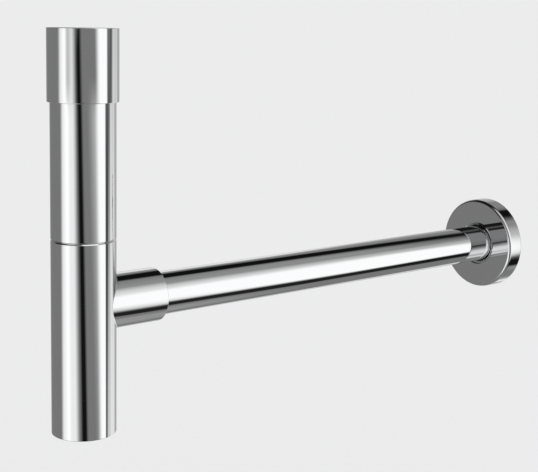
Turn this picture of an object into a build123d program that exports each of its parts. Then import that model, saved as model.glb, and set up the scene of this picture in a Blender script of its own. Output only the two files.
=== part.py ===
"""Tubular bottle trap for a wash basin: a union nut with a long skirt, a telescopic body and a wall outlet.

Millimetres. The origin is the centre of the sealing face, where the end of the basin waste lands on the
inlet gasket. +Z points up into the waste, and +X runs along the outlet pipe to the wall.
"""

import os

from build123d import *

# Standard sizes that other products have to fit: 32 mm tube under a waste with a G 1 1/4 thread
tube_d = 32.0
tube_wall = 1.2
waste_thread_over_tube = 9.91
waste_thread_depth = 1.48

# Union nut
nut_thread_length = 17.0
nut_thread_lead = 0.9
nut_thread_relief = 0.45
nut_thread_wall = 2.0
nut_lip = 4.0
nut_lip_taper = 1.5
nut_skirt_length = 25.0
nut_skirt_wall = 1.7
nut_edge = 0.6
nut_skirt_edge = 0.4

# Inlet seal and dip tube
inlet_gasket_thickness = 2.5
inlet_gasket_set_back = 0.7
inlet_slip_thickness = 1.0
gasket_edge = 0.3
slip_edge = 0.2
dip_flange_thickness = 1.5
dip_mouth_flare = 0.8
dip_end_above_floor = 20.0

# Body of two tubes that meet at a screwed joint
water_gap = 5.5
body_wall = 1.5
body_edge = 0.5
upper_visible = 96.0
upper_in_skirt = 13.0
bottle_height = 140.0
bottle_floor = 2.0
bottle_floor_corner = 2.5

# Gland that seals the upper tube to the dip tube
gland_recess = 1.0
gland_nut_height = 8.0
gland_nut_edge = 0.5
gland_slot_count = 4
gland_slot_width = 4.0
gland_slot_depth = 3.0
gland_slip_thickness = 1.0
gland_seal_height = 6.0
gland_seal_bevel = 2.0
gland_seat_height = 4.0
gland_seat_taper = 2.0

# Screwed joint between the upper tube and the bottle
spigot_length = 12.0
spigot_wall = 2.0
spigot_root = 6.0
spigot_taper = 2.0
spigot_lead = 0.6
joint_gasket_thickness = 1.5
joint_ledge_height = 3.0
joint_ledge_taper = 2.0

# Outlet socket on the bottle
outlet_below_joint = 48.0
socket_length = 36.0
socket_wall = 1.45
socket_stop_from_body = 2.5
socket_stop_height = 1.2
socket_edge = 0.6
socket_lead = 0.5
socket_oring_width = 3.2
socket_oring_depth = 2.1
socket_oring_from_end = 9.0
socket_oring_spacing = 8.0
oring_corner_share = 0.4

# Outlet pipe and the flange that covers the hole in the wall
outlet_reach = 428.0
pipe_past_wall = 20.0
pipe_end_edge = 0.4
flange_d = 80.0
flange_depth = 15.5
flange_wall = 1.4
flange_edge = 0.7
flange_inner_corner = 1.0
flange_hole_edge = 0.8
flange_hub_length = 9.0
flange_hub_wall = 4.0
flange_oring_from_face = 5.5
flange_oring_width = 3.0
flange_oring_depth = 2.0

# Clearances: the first eight are on the radius, the last three along the piece
drop_in_clearance = 0.2
lip_clearance = 0.4
skirt_clearance = 0.3
thread_clearance = 0.3
gland_bore_clearance = 0.3
pipe_clearance = 0.2
flange_clearance = 0.3
seal_clearance = 0.1
groove_side_clearance = 0.2
joint_gap = 0.1
pipe_end_gap = 0.5

# Radii that follow from the sizes above
tube_r = tube_d / 2
tube_bore_r = tube_r - tube_wall
body_bore_r = tube_r + water_gap
body_r = body_bore_r + body_wall
thread_r = (tube_d + waste_thread_over_tube) / 2
thread_relief_r = thread_r + nut_thread_relief
drop_in_r = thread_r - waste_thread_depth - drop_in_clearance
inlet_gasket_bore_r = tube_bore_r + inlet_gasket_set_back
skirt_r = body_r + skirt_clearance
nut_r = max(skirt_r + nut_skirt_wall, thread_relief_r + nut_thread_wall)
lip_bore_r = tube_r + lip_clearance
gland_bore_r = tube_r + gland_bore_clearance
gland_outer_r = body_bore_r - thread_clearance
seal_bore_r = tube_r + seal_clearance
spigot_r = body_bore_r - thread_clearance
spigot_bore_r = spigot_r - spigot_wall
socket_bore_r = tube_r + pipe_clearance
socket_stop_r = socket_bore_r - socket_stop_height
socket_groove_r = socket_bore_r + socket_oring_depth
socket_r = socket_groove_r + socket_wall
flange_r = flange_d / 2
flange_hole_r = tube_r + flange_clearance
flange_groove_r = flange_hole_r + flange_oring_depth
flange_hub_r = flange_hole_r + flange_hub_wall

# Heights that follow, from the top down
nut_top = nut_thread_length
dip_top = -inlet_gasket_thickness
dip_flange_bottom = dip_top - dip_flange_thickness
lip_top = dip_flange_bottom - inlet_slip_thickness
lip_bottom = lip_top - nut_lip
nut_bottom = lip_bottom - nut_skirt_length
upper_top = nut_bottom + upper_in_skirt
gland_nut_top = upper_top - gland_recess
gland_nut_bottom = gland_nut_top - gland_nut_height
gland_seal_top = gland_nut_bottom - gland_slip_thickness
gland_seat_top = gland_seal_top - gland_seal_height
gland_seat_bottom = gland_seat_top - gland_seat_height
joint_z = nut_bottom - upper_visible
bottle_top = joint_z - joint_gap
spigot_end = joint_z - spigot_length
ledge_top = spigot_end - joint_gasket_thickness
ledge_bottom = ledge_top - joint_ledge_height
bottle_bottom = joint_z - bottle_height
floor_top = bottle_bottom + bottle_floor
dip_end = floor_top + dip_end_above_floor
outlet_z = joint_z - outlet_below_joint

# Stations along the outlet, from the body's axis towards the wall
socket_stop_x = body_r + socket_stop_from_body
socket_end_x = body_r + socket_length
outer_oring_x = socket_end_x - socket_oring_from_end
inner_oring_x = outer_oring_x - socket_oring_spacing
pipe_start_x = socket_stop_x + pipe_end_gap
pipe_end_x = outlet_reach + pipe_past_wall
flange_face_x = outlet_reach - flange_depth
flange_oring_x = flange_face_x + flange_oring_from_face


def turned(*corners):
    """A piece turned about the body's axis, from the corners (radius, height) of its section."""
    outline = Polyline(*[(radius, 0, height) for radius, height in corners], close=True)
    return revolve(make_face(outline), Axis.Z)


def turned_on_outlet(*corners):
    """A piece turned about the outlet's axis, from the corners (distance, radius) of its section."""
    outline = Polyline(*[(distance, 0, radius) for distance, radius in corners], close=True)
    return Pos(0, 0, outlet_z) * revolve(make_face(outline), Axis.X)


def ring(bore_r, outer_r, bottom, top, edge):
    """A flat ring about the body's axis with its four edges broken."""
    return turned(
        (bore_r + edge, bottom),
        (outer_r - edge, bottom),
        (outer_r, bottom + edge),
        (outer_r, top - edge),
        (outer_r - edge, top),
        (bore_r + edge, top),
        (bore_r, top - edge),
        (bore_r, bottom + edge),
    )


def outlet_oring(centre_x, groove_r, width):
    """A round ring on the outlet pipe, squeezed by its groove to a rounded section."""
    outer_r = groove_r - seal_clearance
    height = outer_r - seal_bore_r
    middle_r = (outer_r + seal_bore_r) / 2
    corner = oring_corner_share * min(height, width)
    section = Plane.XZ * Pos(centre_x, middle_r) * RectangleRounded(width, height, corner)
    return Pos(0, 0, outlet_z) * revolve(section, Axis.X)


def inlet_nut():
    """Union nut: a plain drum with the waste's thread above an inner lip and a long skirt below it."""
    return turned(
        (thread_r + nut_thread_lead, nut_top),
        (nut_r - nut_edge, nut_top),
        (nut_r, nut_top - nut_edge),
        (nut_r, nut_bottom + nut_edge),
        (nut_r - nut_edge, nut_bottom),
        (skirt_r + nut_skirt_edge, nut_bottom),
        (skirt_r, nut_bottom + nut_skirt_edge),
        (skirt_r, lip_bottom - nut_lip_taper),
        (skirt_r - nut_lip_taper, lip_bottom),
        (lip_bore_r, lip_bottom),
        (lip_bore_r, lip_top),
        (thread_relief_r, lip_top),
        (thread_relief_r, 0),
        (thread_r, 0),
        (thread_r, nut_top - nut_thread_lead),
    )


def dip_tube():
    """Inlet tube with a flange under the gasket, reaching down into the water of the bottle."""
    return turned(
        (tube_bore_r + dip_mouth_flare, dip_top),
        (drop_in_r, dip_top),
        (drop_in_r, dip_flange_bottom),
        (tube_r, dip_flange_bottom),
        (tube_r, dip_end),
        (tube_bore_r, dip_end),
        (tube_bore_r, dip_top - dip_mouth_flare),
    )


def gland_nut():
    """Ring nut in the top of the upper tube, with slots for a pronged key."""
    body = ring(gland_bore_r, gland_outer_r, gland_nut_bottom, gland_nut_top, gland_nut_edge)
    ring_width = gland_outer_r - gland_bore_r
    slot = Box(2 * ring_width, gland_slot_width, 2 * gland_slot_depth)
    at_rim = Pos((gland_outer_r + gland_bore_r) / 2, 0, gland_nut_top)
    for turn in PolarLocations(0, gland_slot_count):
        body -= turn * at_rim * slot
    return body


def gland_seal():
    """Rubber ring with a bevelled shoulder, squeezed down on the gland's seat."""
    return turned(
        (seal_bore_r, gland_seat_top),
        (gland_outer_r - gland_seal_bevel, gland_seat_top),
        (gland_outer_r, gland_seat_top + gland_seal_bevel),
        (gland_outer_r, gland_seal_top),
        (seal_bore_r, gland_seal_top),
    )


def upper_tube():
    """Upper body: a plain tube with the gland's seat inside its top and a screwed spigot at its foot."""
    return turned(
        (body_r - body_edge, upper_top),
        (body_r, upper_top - body_edge),
        (body_r, joint_z + body_edge),
        (body_r - body_edge, joint_z),
        (spigot_r, joint_z),
        (spigot_r, spigot_end + spigot_lead),
        (spigot_r - spigot_lead, spigot_end),
        (spigot_bore_r, spigot_end),
        (spigot_bore_r, joint_z + spigot_root),
        (body_bore_r, joint_z + spigot_root + spigot_taper),
        (body_bore_r, gland_seat_bottom - gland_seat_taper),
        (body_bore_r - gland_seat_taper, gland_seat_bottom),
        (gland_bore_r, gland_seat_bottom),
        (gland_bore_r, gland_seat_top),
        (body_bore_r, gland_seat_top),
        (body_bore_r, upper_top),
    )


def bottle_shell():
    """The bottle's turned wall: a closed foot, a gasket ledge and a screwed mouth."""
    return turned(
        (0, bottle_bottom),
        (body_r - body_edge, bottle_bottom),
        (body_r, bottle_bottom + body_edge),
        (body_r, bottle_top - body_edge),
        (body_r - body_edge, bottle_top),
        (body_bore_r, bottle_top),
        (body_bore_r, ledge_top),
        (spigot_bore_r, ledge_top),
        (spigot_bore_r, ledge_bottom),
        (body_bore_r, ledge_bottom - joint_ledge_taper),
        (body_bore_r, floor_top + bottle_floor_corner),
        (body_bore_r - bottle_floor_corner, floor_top),
        (0, floor_top),
    )


def socket_hollow():
    """The space inside the outlet socket: a through bore, a stop for the pipe and two ring grooves."""
    hollow = turned_on_outlet(
        (0, 0),
        (socket_end_x, 0),
        (socket_end_x, socket_bore_r + socket_lead),
        (socket_end_x - socket_lead, socket_bore_r),
        (socket_stop_x, socket_bore_r),
        (socket_stop_x, socket_stop_r),
        (0, socket_stop_r),
    )
    half_groove = socket_oring_width / 2 + groove_side_clearance
    for centre_x in (outer_oring_x, inner_oring_x):
        hollow += turned_on_outlet(
            (centre_x - half_groove, 0),
            (centre_x + half_groove, 0),
            (centre_x + half_groove, socket_groove_r),
            (centre_x - half_groove, socket_groove_r),
        )
    return hollow


def bottle():
    """Lower body: the shell with the outlet socket brazed into its side along a scribed seam."""
    branch = turned_on_outlet(
        (0, 0),
        (socket_end_x, 0),
        (socket_end_x, socket_r - socket_edge),
        (socket_end_x - socket_edge, socket_r),
        (0, socket_r),
    )
    water_space = Pos(0, 0, outlet_z) * Cylinder(body_bore_r, 4 * socket_r)
    return bottle_shell() + (branch - water_space) - socket_hollow()


def outlet_pipe():
    """Plain outlet tube from the socket's stop through the flange and into the wall."""
    return turned_on_outlet(
        (pipe_start_x, tube_bore_r),
        (pipe_start_x, tube_r - pipe_end_edge),
        (pipe_start_x + pipe_end_edge, tube_r),
        (pipe_end_x - pipe_end_edge, tube_r),
        (pipe_end_x, tube_r - pipe_end_edge),
        (pipe_end_x, tube_bore_r),
    )


def wall_flange():
    """Hollow cover flange: a flat face, a deep plain rim and a hub with a grip ring on the pipe."""
    rim_r = flange_r - flange_wall
    inside_x = flange_face_x + flange_wall
    hub_end_x = flange_face_x + flange_hub_length
    half_groove = flange_oring_width / 2 + groove_side_clearance
    return turned_on_outlet(
        (flange_face_x, flange_hole_r + flange_hole_edge),
        (flange_face_x, flange_r - flange_edge),
        (flange_face_x + flange_edge, flange_r),
        (outlet_reach, flange_r),
        (outlet_reach, rim_r),
        (inside_x + flange_inner_corner, rim_r),
        (inside_x, rim_r - flange_inner_corner),
        (inside_x, flange_hub_r),
        (hub_end_x, flange_hub_r),
        (hub_end_x, flange_hole_r),
        (flange_oring_x + half_groove, flange_hole_r),
        (flange_oring_x + half_groove, flange_groove_r),
        (flange_oring_x - half_groove, flange_groove_r),
        (flange_oring_x - half_groove, flange_hole_r),
        (flange_face_x + flange_hole_edge, flange_hole_r),
    )


pieces = {
    "inlet_nut": inlet_nut(),
    "inlet_gasket": ring(inlet_gasket_bore_r, drop_in_r, dip_top, 0, gasket_edge),
    "inlet_slip_ring": ring(lip_bore_r, drop_in_r, lip_top, dip_flange_bottom, slip_edge),
    "dip_tube": dip_tube(),
    "gland_nut": gland_nut(),
    "gland_slip_ring": ring(gland_bore_r, gland_outer_r, gland_seal_top, gland_nut_bottom, slip_edge),
    "gland_seal": gland_seal(),
    "upper_tube": upper_tube(),
    "joint_gasket": ring(spigot_bore_r, spigot_r, ledge_top, spigot_end, gasket_edge),
    "bottle": bottle(),
    "outlet_oring_outer": outlet_oring(outer_oring_x, socket_groove_r, socket_oring_width),
    "outlet_oring_inner": outlet_oring(inner_oring_x, socket_groove_r, socket_oring_width),
    "outlet_pipe": outlet_pipe(),
    "wall_flange": wall_flange(),
    "flange_oring": outlet_oring(flange_oring_x, flange_groove_r, flange_oring_width),
}

os.makedirs("parts", exist_ok=True)
for node, piece in pieces.items():
    export_step(piece, f"parts/{node}.step")
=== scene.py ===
"""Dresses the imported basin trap: turned chrome tubes, cut threads, seals and a plain studio.

Metres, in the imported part's frame: +Z up into the basin waste, +X along the outlet to the wall.
"""

import math

import bmesh
import bpy
import numpy as np
from bpy.props import FloatProperty, FloatVectorProperty, IntProperty, PointerProperty
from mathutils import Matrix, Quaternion, Vector, geometry


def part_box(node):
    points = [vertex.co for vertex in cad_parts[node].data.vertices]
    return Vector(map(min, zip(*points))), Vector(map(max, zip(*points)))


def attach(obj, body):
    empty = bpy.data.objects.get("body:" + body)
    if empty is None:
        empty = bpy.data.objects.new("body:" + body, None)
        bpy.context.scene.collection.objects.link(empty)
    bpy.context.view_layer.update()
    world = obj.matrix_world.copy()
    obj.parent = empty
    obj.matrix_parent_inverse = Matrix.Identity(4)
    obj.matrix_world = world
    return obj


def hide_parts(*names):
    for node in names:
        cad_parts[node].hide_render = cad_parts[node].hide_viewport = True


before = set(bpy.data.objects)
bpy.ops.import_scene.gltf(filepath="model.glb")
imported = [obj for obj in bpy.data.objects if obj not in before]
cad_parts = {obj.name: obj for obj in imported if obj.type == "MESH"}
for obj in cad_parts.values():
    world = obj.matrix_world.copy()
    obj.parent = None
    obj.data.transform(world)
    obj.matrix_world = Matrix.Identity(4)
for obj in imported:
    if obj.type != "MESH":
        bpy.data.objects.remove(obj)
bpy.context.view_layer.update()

bl_info = {
    "name": "Basin Trap Dresser",
    "version": (1, 0, 0),
    "blender": (4, 5, 0),
    "location": "View3D > Sidebar > Basin Trap",
    "description": "Builds the chrome, brass and rubber pieces of a basin trap and its studio",
    "category": "Object",
}

MM = 0.001
PICTURE_WIDTH = 538
SENSOR_WIDTH = 36.0

# Points closer than this are one
SAME_PLACE = 1e-6

# Roundings of turned edges, and how far from them the points stand that hold the faces true
HAIR_EDGE, FINE_EDGE, EDGE, SOFT_EDGE = 0.1 * MM, 0.2 * MM, 0.3 * MM, 0.4 * MM
HOLD = 0.25 * MM

# Bends in degrees past which an edge is drawn sharp, on plain and on threaded pieces
SHARP, SHARP_THREADED = 32, 50

# Height of the finest relief in the materials, and how far the polish of the chrome varies
RELIEF = 0.1 * MM
HAZE = 0.01

nut_low, nut_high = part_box("inlet_nut")
dip_low, dip_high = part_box("dip_tube")
upper_low, upper_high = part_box("upper_tube")
bottle_low, bottle_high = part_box("bottle")
pipe_low, pipe_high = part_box("outlet_pipe")
flange_low, flange_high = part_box("wall_flange")
OUTLET_Z = round((pipe_low.z + pipe_high.z) / 2, 6)


def length(name, default, description):
    """A length that a user may change, given in metres."""
    return FloatProperty(
        name=name, description=description, default=round(default, 6), unit="LENGTH", precision=5
    )


def angle(name, degrees, description):
    """An angle that a user may change, given in degrees."""
    return FloatProperty(
        name=name, description=description, default=math.radians(degrees), subtype="ANGLE"
    )


def share(name, default, description):
    """A share from 0 to 1 that a user may change."""
    return FloatProperty(
        name=name, description=description, default=default, min=0, max=1, subtype="FACTOR"
    )


def colour(name, default, description):
    """A colour that a user may change."""
    return FloatVectorProperty(
        name=name, description=description, default=default, size=3, min=0, max=1, subtype="COLOR"
    )


class TrapSizes(bpy.types.PropertyGroup):
    """Sizes of the turned pieces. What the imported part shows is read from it."""

    segments: IntProperty(
        name="Segments", description="Facets around each turned piece", default=256, min=32, max=512
    )
    nut_r: length("Nut radius", nut_high.x, "Outside of the union nut")
    body_r: length("Body radius", upper_high.x, "Outside of the upper tube and the bottle")
    tube_r: length("Tube radius", pipe_high.y, "Outside of the dip tube and the outlet pipe")
    flange_r: length("Flange radius", flange_high.y, "Outside of the wall flange")
    tube_bore_r: length("Tube bore", 14.8 * MM, "Inside radius of the dip tube and the outlet pipe")
    body_bore_r: length("Body bore", 21.5 * MM, "Inside radius of the upper tube and the bottle")
    skirt_r: length("Skirt bore", 23.3 * MM, "Inside radius of the nut's skirt")
    lip_bore_r: length("Lip bore", 16.4 * MM, "Hole in the nut's inner lip")
    thread_r: length("Inlet thread radius", 20.955 * MM, "Root of the thread inside the nut")
    thread_relief_r: length("Thread relief", 21.405 * MM, "Groove under the nut's thread")
    drop_in_r: length("Drop-in radius", 19.275 * MM, "Outside of the rings that pass the thread")
    gasket_bore_r: length("Inlet gasket bore", 15.5 * MM, "Hole in the inlet gasket")
    gland_bore_r: length("Gland bore", 16.3 * MM, "Hole in the gland's seat and slip ring")
    gland_r: length("Gland radius", 21.2 * MM, "Outside of the gland's rings and of the spigot")
    spigot_bore_r: length("Spigot bore", 19.2 * MM, "Inside of the spigot and of the gasket ledge")
    seal_bore_r: length("Seal bore", 16.1 * MM, "Inside radius of the rubber rings on the tubes")
    socket_r: length("Socket radius", 19.75 * MM, "Outside of the outlet socket")
    socket_bore_r: length("Socket bore", 16.2 * MM, "Bore that takes the outlet pipe")
    socket_stop_r: length("Socket stop", 15.0 * MM, "Bore behind the stop for the pipe")
    socket_groove_r: length("Ring groove", 18.3 * MM, "Bottom of the ring grooves on the outlet")
    hole_r: length("Flange hole", 16.3 * MM, "Hole of the wall flange")
    hub_r: length("Flange hub", 20.3 * MM, "Outside of the hub behind the flange's face")
    nut_edge: length("Nut edge", 0.35 * MM, "Rounding of the nut's outer edges")
    nut_dish: length("Nut dish", 0.4 * MM, "How far the nut's top face falls towards its thread")
    body_edge: length("Body edge", 0.35 * MM, "Rounding of the upper tube's top and of the foot")
    groove_depth: length("Groove depth", 0.8 * MM, "Depth of the groove that draws the joint")
    groove_height: length("Groove height", 1.1 * MM, "Height of the groove's flank on the bottle")
    socket_edge: length("Socket edge", 0.3 * MM, "Rounding of the socket's mouth")
    flange_edge: length("Flange edge", 2.2 * MM, "Rounding of the flange's face")
    hole_edge: length("Hole edge", 3.6 * MM, "Rounding of the flange's face into its hole")
    braze: length("Braze fillet", 1.0 * MM, "Fillet along the seam between bottle and socket")
    inlet_pitch: length("Inlet thread pitch", 2.309 * MM, "Pitch of a 1 1/4 inch pipe thread")
    inlet_depth: length("Inlet thread depth", 1.479 * MM, "Depth of the thread inside the nut")
    joint_pitch: length("Joint thread pitch", 2.0 * MM, "Pitch of the thread on the spigot")
    joint_depth: length("Joint thread depth", 0.8 * MM, "Depth of the thread on the spigot")


class TrapFinish(bpy.types.PropertyGroup):
    """Colours and polish of the trap's materials."""

    chrome: colour("Chrome", (0.8, 0.803, 0.81), "Plated outside of the trap")
    bare_metal: colour("Bare metal", (0.6, 0.52, 0.38), "Metal inside, where the plating thins out")
    brass: colour("Brass", (0.72, 0.56, 0.3), "Turned brass of the inner pieces")
    tarnish: colour("Tarnish", (0.46, 0.31, 0.15), "Darker bloom on the brass")
    rubber: colour("Rubber", (0.03, 0.03, 0.032), "Black rubber of the seals")
    nylon: colour("Nylon", (0.85, 0.84, 0.8), "Slip rings")
    polish: share("Polish", 0.03, "Roughness of the polished chrome")


class TrapStudio(bpy.types.PropertyGroup):
    """Camera, floor and light of the picture."""

    ground: colour("Ground", (0.8388, 0.8388, 0.8469), "Floor and background")
    floor_z: length("Floor height", -0.55, "Height of the floor under the hanging trap")
    floor_r: length("Floor radius", 8.0, "Radius of the round floor")
    camera_place: FloatVectorProperty(
        name="Camera place", description="Where the camera stands", size=3, subtype="TRANSLATION",
        default=(-0.4084, -0.7168, 0.0259), unit="LENGTH",
    )
    camera_bearing: angle("Camera bearing", -38.695, "Turn of the view to the left of +Y")
    camera_tilt: angle("Camera tilt", -6.947, "Upward tilt of the view")
    camera_roll: angle("Camera roll", 0.913, "Turn of the camera about its line of sight")
    focal_pixels: FloatProperty(
        name="Focal length in pixels", description="Focal length in widths of one picture pixel",
        default=1178.6, min=1,
    )
    shift_pixels: FloatProperty(
        name="Shift in pixels", description="How far the view's middle is moved down", default=75.0
    )
    room: share("Room", 0.219, "Grey of the studio in the chrome")


class Wiring:
    """Adds nodes to a tree and joins their sockets."""

    def __init__(self, tree):
        self.tree = tree

    def add(self, kind, settings=None, **inputs):
        """A node with its settings. A socket given for an input is joined, and a value is set."""
        node = self.tree.nodes.new(kind)
        for key, value in (settings or {}).items():
            setattr(node, key, value)
        for key, value in inputs.items():
            self.feed(node.inputs[key.replace("_", " ")], value)
        return node

    def feed(self, socket, value):
        """Joins a socket to another one, or sets its value."""
        if isinstance(value, bpy.types.NodeSocket):
            self.tree.links.new(value, socket)
        else:
            socket.default_value = value

    def group(self, tree, **inputs):
        """A node group placed with its own values."""
        return self.add("ShaderNodeGroup", {"node_tree": tree}, **inputs)

    def result(self, kind, settings, sockets, values):
        """A calculating node, fed at those of its sockets."""
        node = self.add(kind, settings)
        for socket, value in zip(sockets, values):
            self.feed(node.inputs[socket], value)
        return node.outputs

    def math(self, operation, *values):
        """A Math node's result."""
        return self.result("ShaderNodeMath", {"operation": operation}, range(3), values)[0]

    def whole(self, operation, *values):
        """An Integer Math node's result."""
        return self.result("FunctionNodeIntegerMath", {"operation": operation}, range(3), values)[0]

    def ramp(self, value, low, high):
        """A smooth step of a value from 0 to 1 between two limits."""
        settings = {"interpolation_type": "SMOOTHSTEP"}
        sockets = ("Value", "From Min", "From Max")
        return self.result("ShaderNodeMapRange", settings, sockets, (value, low, high))["Result"]

    def between(self, value, low, high):
        """A value from 0 to 1, laid out from one limit to another."""
        return self.math("MULTIPLY_ADD", value, high - low, low)

    def mix(self, factor, first, second):
        """A mix of two colours."""
        values = (factor, first, second)
        return self.result("ShaderNodeMix", {"data_type": "RGBA"}, (0, 6, 7), values)[2]

    def blend(self, factor, first, second):
        """A mix of two numbers."""
        values = (factor, first, second)
        return self.result("ShaderNodeMix", {"data_type": "FLOAT"}, (0, 2, 3), values)[0]

    def from_axis(self, vector):
        """A point's distance from the axis Z, and its height along it."""
        split = self.add("ShaderNodeSeparateXYZ", Vector=vector).outputs
        squares = [self.math("POWER", split[axis], 2.0) for axis in "XY"]
        return self.math("SQRT", self.math("ADD", *squares)), split["Z"]


def new_group(name, kind, inputs, outputs):
    """An empty node group: its wiring, and the sockets that it is given and that it makes.

    A socket is named with its default, or with its type where it has none.
    """
    tree = bpy.data.node_groups.new(name, kind)
    for in_out, sockets in (("INPUT", inputs), ("OUTPUT", outputs)):
        for socket_name, value in sockets.items():
            has_default = not isinstance(value, str)
            socket_type = "NodeSocket" + (type(value).__name__.title() if has_default else value)
            socket = tree.interface.new_socket(socket_name, in_out=in_out, socket_type=socket_type)
            if has_default:
                socket.default_value = value
    wiring = Wiring(tree)
    return wiring, wiring.add("NodeGroupInput").outputs, wiring.add("NodeGroupOutput").inputs


# Geometry Nodes: the lathe that turns the round pieces but the bottle and the gland nut

def lathe_tree():
    """The lathe: turns a chain of points (radius, 0, height) about Z, threads it and lays it."""
    if "trap_lathe" in bpy.data.node_groups:
        return bpy.data.node_groups["trap_lathe"]
    w, given, made = new_group(
        "trap_lathe",
        "GeometryNodeTree",
        {
            "Section": "Geometry", "Segments": 256, "Thread Pitch": 0.002, "Thread Depth": 0.0,
            "Turn": "Vector", "Move": "Vector", "Material": "Material",
        },
        {"Piece": "Geometry"},
    )
    section, segments = given["Section"], given["Segments"]
    rows = w.add("GeometryNodeAttributeDomainSize", {"component": "MESH"}, Geometry=section)
    columns = w.whole("ADD", segments, 1)
    sheet = w.add(
        "GeometryNodeMeshGrid", Vertices_X=rows.outputs["Point Count"], Vertices_Y=columns
    )
    index = w.add("GeometryNodeInputIndex").outputs[0]
    row = w.whole("DIVIDE_FLOOR", index, columns)
    column = w.whole("MODULO", index, columns)

    def of_row(data_type, value):
        sample = {"data_type": data_type, "domain": "POINT"}
        node = w.add("GeometryNodeSampleIndex", sample, Geometry=section, Value=value, Index=row)
        return node.outputs["Value"]

    place = of_row("FLOAT_VECTOR", w.add("GeometryNodeInputPosition").outputs[0])
    named = w.add("GeometryNodeInputNamedAttribute", {"data_type": "FLOAT"}, Name="thread")
    cut = of_row("FLOAT", named.outputs["Attribute"])
    split = w.add("ShaderNodeSeparateXYZ", Vector=place).outputs
    turns = w.math("DIVIDE", column, segments)
    around = w.math("MULTIPLY", turns, math.tau)
    along = w.math("DIVIDE", split["Z"], given["Thread Pitch"])
    wave = w.math("COSINE", w.math("MULTIPLY", w.math("SUBTRACT", along, turns), math.tau))
    groove = w.math("MULTIPLY_ADD", wave, -0.5, 0.5)
    depth = w.math("MULTIPLY", given["Thread Depth"], cut)
    radius = w.math("SUBTRACT", split["X"], w.math("MULTIPLY", groove, depth))
    point = w.add(
        "ShaderNodeCombineXYZ",
        X=w.math("MULTIPLY", radius, w.math("COSINE", around)),
        Y=w.math("MULTIPLY", radius, w.math("SINE", around)),
        Z=split["Z"],
    )
    turned = w.add(
        "GeometryNodeSetPosition", Geometry=sheet.outputs["Mesh"], Position=point.outputs[0]
    )
    closed = w.add("GeometryNodeMergeByDistance", Geometry=turned.outputs[0], Distance=SAME_PLACE)
    smooth = w.add("GeometryNodeSetShadeSmooth", Geometry=closed.outputs[0])
    laid = w.add(
        "GeometryNodeTransform", Geometry=smooth.outputs[0], Rotation=given["Turn"],
        Translation=given["Move"],
    )
    real = w.add("GeometryNodeRealizeInstances", Geometry=laid.outputs[0])
    dressed = w.add(
        "GeometryNodeSetMaterial", Geometry=real.outputs[0], Material=given["Material"]
    )
    w.feed(made["Piece"], dressed.outputs[0])
    return w.tree


def rounded(corners, closed=True, steps=5):
    """Points of a section from its corners (radius, height, rounding, thread).

    A corner's last two values may be left out. A holding point stands on each side of a rounded
    corner, so that the faces beside it stay true in reflections. On a short face it stands closer,
    at a third of what the roundings leave of the face.
    """
    places = [Vector(corner[:2]) for corner in corners]
    lines = [places[(k + 1) % len(places)] - place for k, place in enumerate(places)]
    roundings = [corner[2] if len(corner) > 2 else 0 for corner in corners]
    bends = [lines[k - 1].angle(line) if roundings[k] else 0 for k, line in enumerate(lines)]
    reach = [rounding * math.tan(bend / 2) for rounding, bend in zip(roundings, bends)]
    flats = [line.length - reach[k] - reach[(k + 1) % len(reach)] for k, line in enumerate(lines)]
    points = []
    for k, corner in enumerate(corners):
        place, rounding, bend = places[k], roundings[k], bends[k]
        if not rounding:
            points.append((place.x, place.y, corner[3] if len(corner) > 3 else 0))
            continue
        if min(flats[k - 1], flats[k]) <= 0:
            raise RuntimeError(f"the rounding of corner {k} is longer than the face beside it")
        inward, onward = lines[k - 1].normalized(), lines[k].normalized()
        side = Vector((-inward.y, inward.x))
        side *= math.copysign(1, side.dot(onward))
        start = place - inward * reach[k]
        turns = [bend * t / steps for t in range(steps + 1)]
        arc = [
            start + rounding * (inward * math.sin(turn) + side * (1 - math.cos(turn)))
            for turn in turns
        ]
        before = arc[0] - inward * min(HOLD, flats[k - 1] / 3)
        after = arc[-1] + onward * min(HOLD, flats[k] / 3)
        points += [(point.x, point.y, 0) for point in (before, *arc, after)]
    if closed:
        points.append(points[0])
    return points


def ring_section(bore_r, outer_r, low, high, edge):
    """Section of a plain ring with rounded edges."""
    return rounded(
        [(bore_r, low, edge), (outer_r, low, edge), (outer_r, high, edge), (bore_r, high, edge)]
    )


def thread_run(radius, start, end, pitch, per_turn=16):
    """Corners along a threaded wall. The thread fades over its first and last half turns."""
    count = math.ceil(abs(end - start) / pitch * per_turn)
    run = []
    for k in range(count + 1):
        height = start + (end - start) * k / count
        fade = min(abs(height - start), abs(end - height)) / (pitch / 2)
        run.append((radius, height, 0, min(1.0, fade)))
    return run


def join_part(piece, body, node):
    """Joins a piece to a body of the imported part, in place of one of its nodes."""
    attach(piece, body)
    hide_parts(node)


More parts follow.
